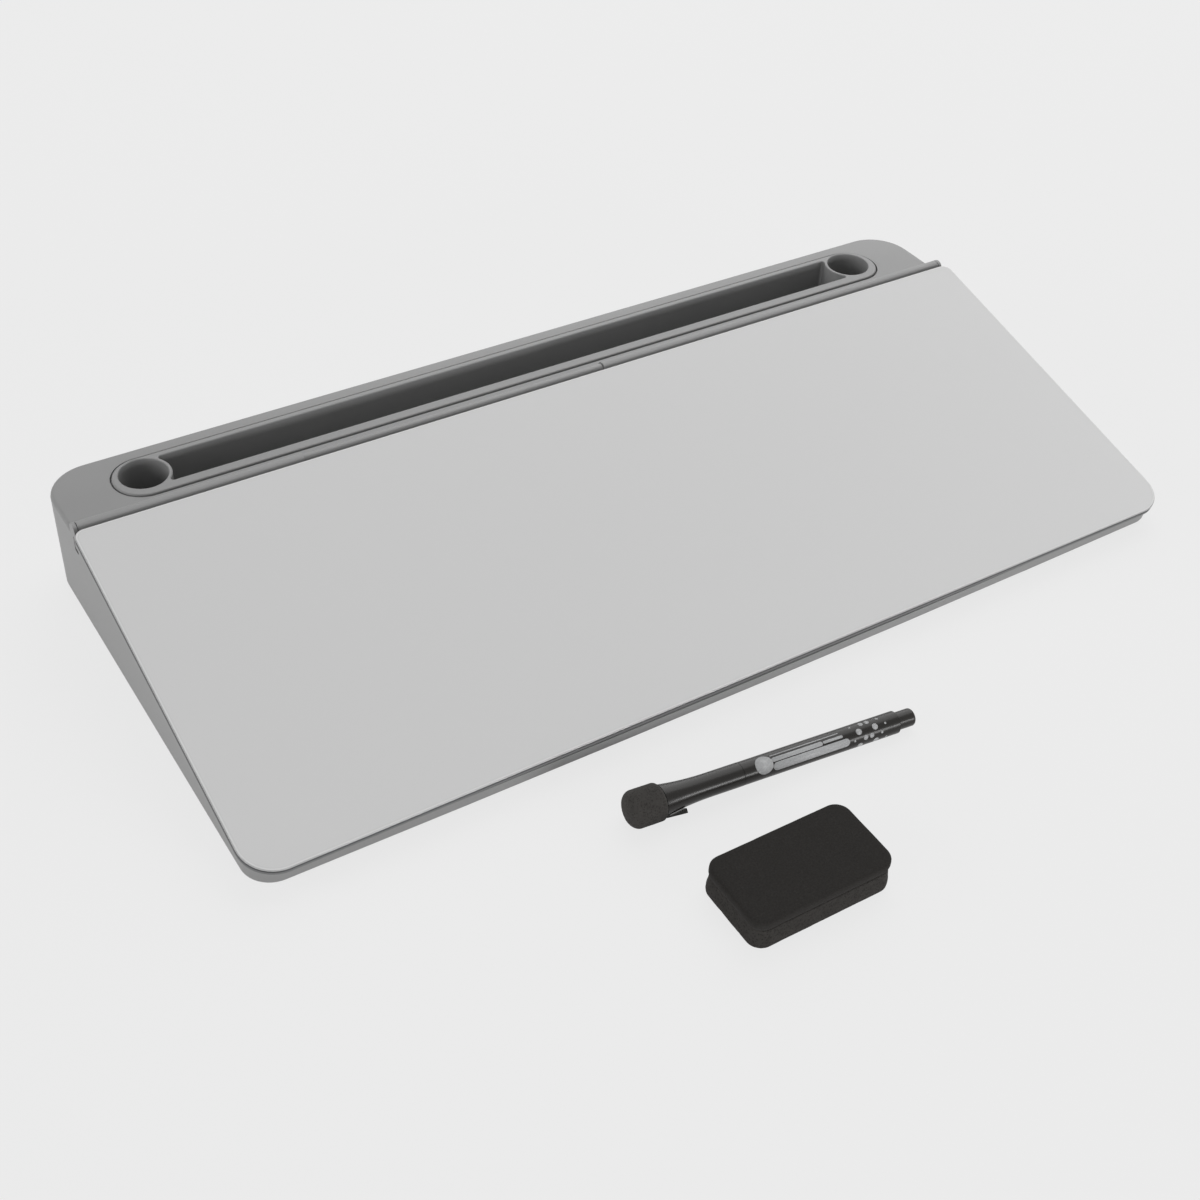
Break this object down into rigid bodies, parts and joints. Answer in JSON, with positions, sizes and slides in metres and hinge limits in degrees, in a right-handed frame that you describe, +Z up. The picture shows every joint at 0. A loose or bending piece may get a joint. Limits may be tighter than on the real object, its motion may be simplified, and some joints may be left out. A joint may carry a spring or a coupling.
{
  "type": "desktop glass whiteboard",
  "caption": "Sloping desktop glass whiteboard: glass lid hinged over a storage base with a lift-out pen tray, with capped dry-wipe marker and foam eraser.",
  "frame": {"origin": "middle of the footprint of the whole set, board with marker and eraser in front of it, on the desk", "axes": "+Z up from the desk, +Y towards the back of the board, +X along the board to the right of its user"},
  "size_m": [0.44, 0.3108, 0.0501],
  "materials": {
    "grey_plastic": "fine satin moulding texture",
    "dark_grey_plastic": "fine satin moulding texture",
    "screw_steel": "plated",
    "foot_rubber": "matt",
    "bumper_rubber": "soft, matt",
    "rod_steel": "drawn and polished",
    "white_glass": "clear tempered glass over a white backing, fine ground edge",
    "white_film": "smooth white film",
    "tape_foam": "foam tape",
    "black_gloss_plastic": "glossy moulding",
    "black_satin_plastic": "satin moulding",
    "natural_plastic": "natural, unpigmented",
    "nib_fibre": "pressed fibre soaked with ink",
    "reservoir_fibre": "wadding in a thin sleeve",
    "black_foam": "closed-cell foam, fine open grain on its skin",
    "black_felt": "dense wool felt"
  },
  "bodies": {
    "base": {"base_housing": "grey_plastic", "bottom_cover": "dark_grey_plastic", "cover_screws": "screw_steel", "rubber_feet": "foot_rubber", "lid_bumpers": "bumper_rubber", "hinge_rod_left": "rod_steel", "hinge_rod_right": "rod_steel"},
    "lid": {"lid_frame": "grey_plastic", "glass_panel": "white_glass", "backing_film": "white_film", "mounting_tape": "tape_foam"},
    "tray": {"pen_tray": "grey_plastic"},
    "marker": {"marker_barrel": "black_gloss_plastic", "marker_end_plug": "black_satin_plastic", "nib_holder": "natural_plastic", "marker_nib": "nib_fibre", "ink_reservoir": "reservoir_fibre"},
    "cap": {"marker_cap": "black_gloss_plastic", "marker_foam_tip": "black_foam"},
    "eraser": {"eraser_body": "black_foam", "eraser_felt": "black_felt"}
  },
  "joints": [
    {"name": "lid_hinge", "type": "hinge", "parent": "base", "child": "lid", "pos_m": [0, 0.11317, 0.0471], "axis": [-1, 0, 0], "range_deg": [0, 95]},
    {"name": "tray_lift", "type": "slide", "parent": "base", "child": "tray", "axis": [0, 0, 1], "range_m": [0, 0.045]},
    {"name": "marker_lift", "type": "slide", "parent": "base", "child": "marker", "axis": [0, 0, 1], "range_m": [0, 0.04]},
    {"name": "cap_pull", "type": "slide", "parent": "marker", "child": "cap", "axis": [-0.996, 0.0854, 0.0267], "range_m": [0, 0.03]},
    {"name": "eraser_lift", "type": "slide", "parent": "base", "child": "eraser", "axis": [0, 0, 1], "range_m": [0, 0.04]}
  ]
}
